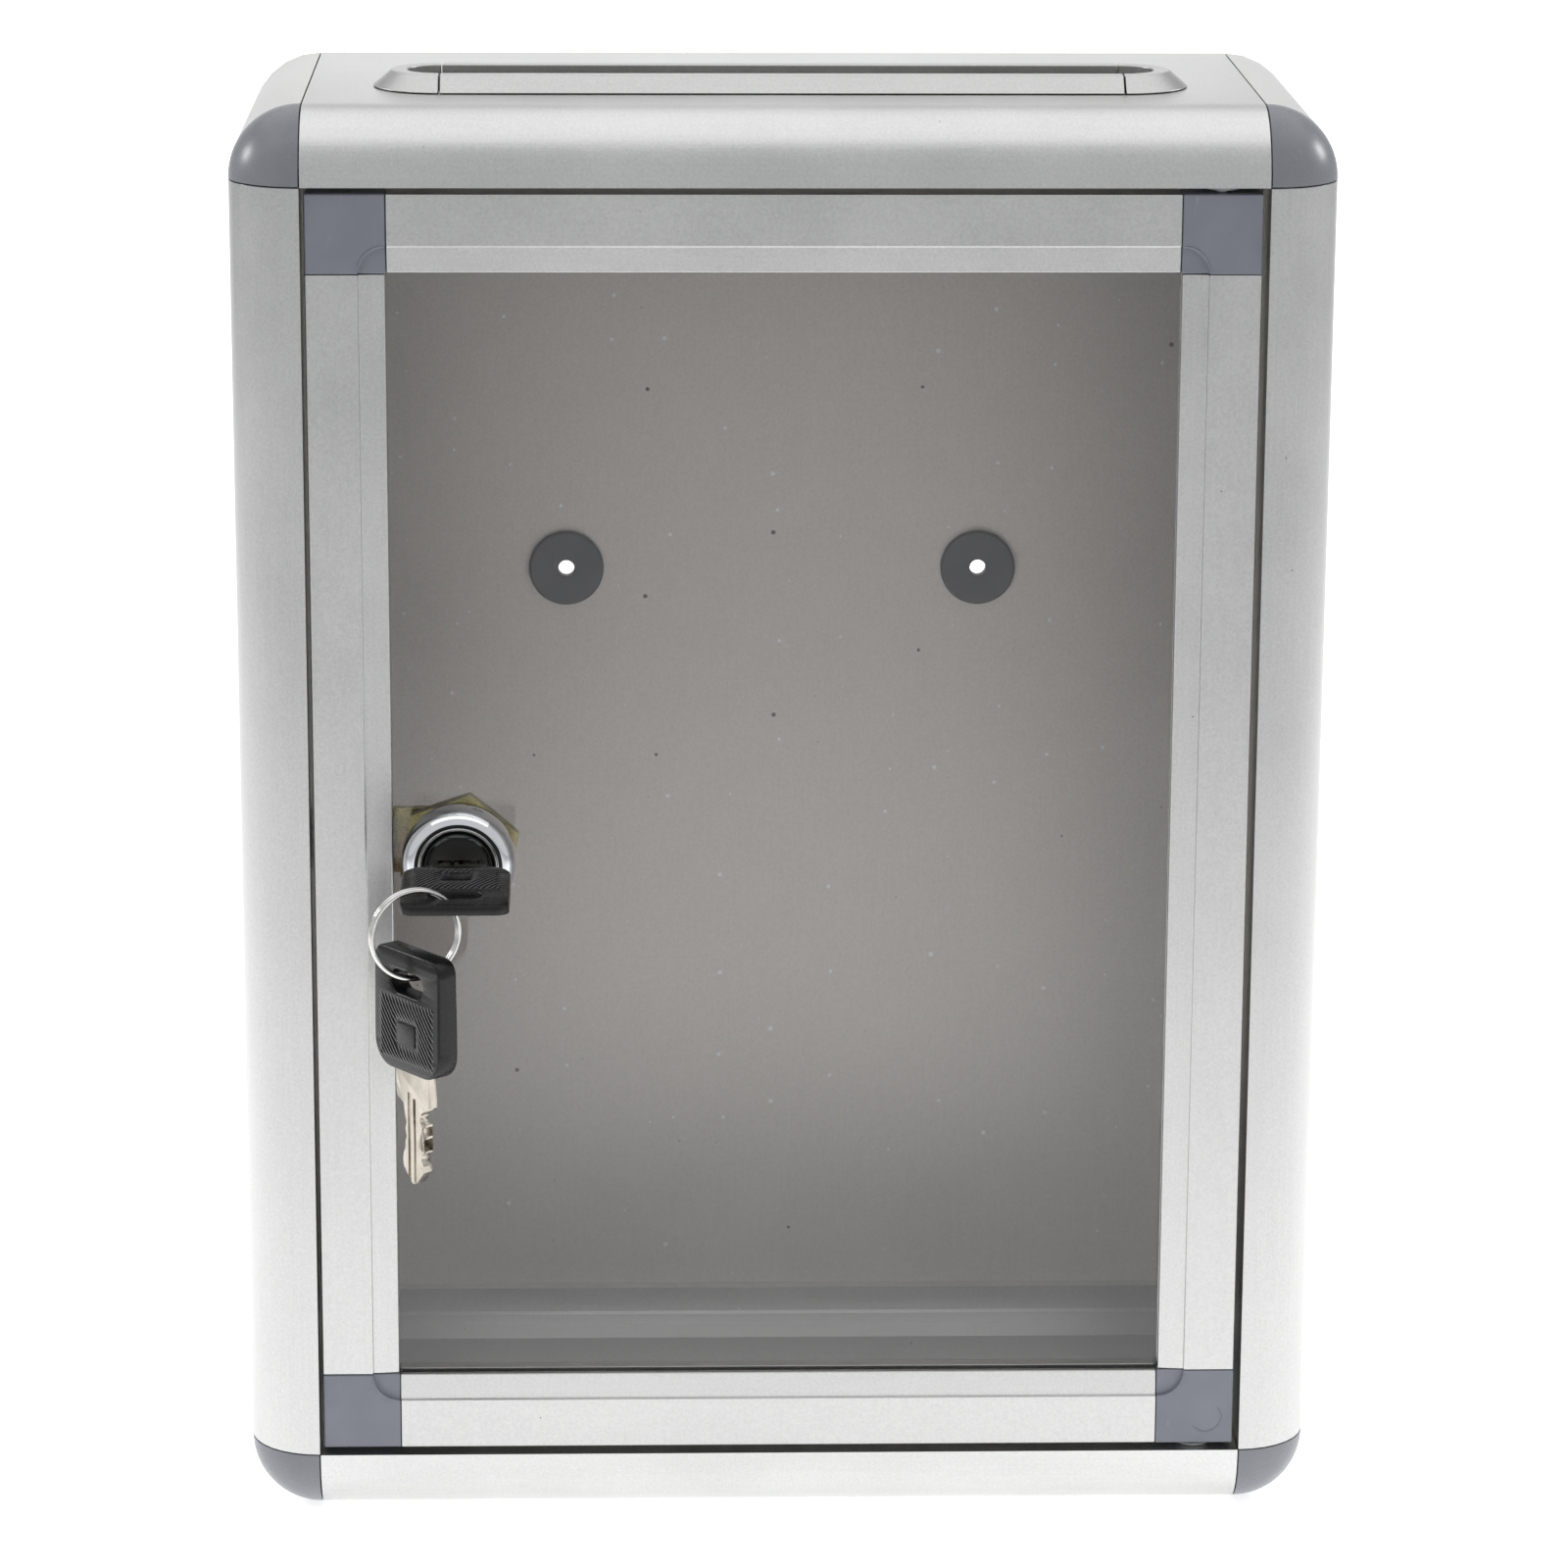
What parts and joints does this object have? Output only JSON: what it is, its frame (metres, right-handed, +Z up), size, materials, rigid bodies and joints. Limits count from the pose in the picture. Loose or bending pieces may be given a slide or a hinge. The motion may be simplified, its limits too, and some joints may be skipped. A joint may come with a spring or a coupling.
{
  "type": "donation box",
  "caption": "Flat aluminium donation box with rounded edges, a clear lockable front door, a raised coin slot on top, and keys on a split ring in its cam lock.",
  "frame": {"origin": "centre of the base, on the surface that the box stands on", "axes": "+X to the right seen from the front, -Y to the front, +Z up"},
  "size_m": [0.225, 0.137, 0.3035],
  "materials": {
    "satin_aluminium": "satin pearl anodised",
    "grey_plastic": "fine moulded texture",
    "dark_plastic": "moulded",
    "black_plastic": "moulded, with a hatched grip",
    "clear_acrylic": "clear polished",
    "bright_chrome": "polished",
    "black_lock": "satin black",
    "nickel_steel": "nickel plated",
    "zinc_steel": "zinc plated",
    "yellow_zinc": "yellow passivated zinc"
  },
  "bodies": {
    "case": {"top_wall": "satin_aluminium", "bottom_wall": "satin_aluminium", "left_wall": "satin_aluminium", "right_wall": "satin_aluminium", "corner_post_top_left": "satin_aluminium", "corner_post_top_right": "satin_aluminium", "corner_post_bottom_left": "satin_aluminium", "corner_post_bottom_right": "satin_aluminium", "corner_cap_top_left": "grey_plastic", "corner_cap_top_right": "grey_plastic", "corner_cap_bottom_left": "grey_plastic", "corner_cap_bottom_right": "grey_plastic", "back_panel": "satin_aluminium", "panel_screw_top_left": "zinc_steel", "panel_screw_top_right": "zinc_steel", "panel_screw_bottom_left": "zinc_steel", "panel_screw_bottom_right": "zinc_steel", "wall_grommet_left": "dark_plastic", "wall_grommet_right": "dark_plastic", "slot_trim_front": "satin_aluminium", "slot_trim_rear": "satin_aluminium", "slot_trim_left": "satin_aluminium", "slot_trim_right": "satin_aluminium", "hinge_bush_top": "dark_plastic", "hinge_bush_bottom": "dark_plastic"},
    "door": {"door_rail_top": "satin_aluminium", "door_rail_bottom": "satin_aluminium", "door_stile_left": "satin_aluminium", "door_stile_right": "satin_aluminium", "door_corner_top_left": "grey_plastic", "door_corner_top_right": "grey_plastic", "door_corner_bottom_left": "grey_plastic", "door_corner_bottom_right": "grey_plastic", "door_pane": "clear_acrylic", "hinge_pin_top": "zinc_steel", "hinge_pin_bottom": "zinc_steel", "lock_housing": "bright_chrome", "lock_nut": "yellow_zinc"},
    "lock_plug": {"lock_plug": "black_lock", "lock_cam": "yellow_zinc", "cam_nut": "yellow_zinc"},
    "key": {"key_blade": "nickel_steel", "key_bow": "black_plastic"},
    "key_ring": {"key_ring": "nickel_steel"},
    "spare_key": {"spare_key_blade": "nickel_steel", "spare_key_bow": "black_plastic"}
  },
  "joints": [
    {"name": "door_hinge", "type": "hinge", "parent": "case", "child": "door", "pos_m": [0.0881, -0.042, 0.15], "axis": [0, 0, 1], "range_deg": [0, 115]},
    {"name": "lock_turn", "type": "hinge", "parent": "door", "child": "lock_plug", "pos_m": [-0.0669, -0.0475, 0.145], "axis": [0, 1, 0], "range_deg": [0, 90]},
    {"name": "key_pull", "type": "slide", "parent": "lock_plug", "child": "key", "axis": [0, -1, 0], "range_m": [0, 0.03]},
    {"name": "ring_swing", "type": "hinge", "parent": "key", "child": "key_ring", "pos_m": [-0.0749, -0.0792, 0.14765], "axis": [0.9397, 0.342, 0], "range_deg": [-4, 4]},
    {"name": "spare_key_swing", "type": "hinge", "parent": "key_ring", "child": "spare_key", "pos_m": [-0.0749, -0.0792, 0.12985], "axis": [0.9397, 0.342, 0], "range_deg": [-12, 12]}
  ]
}
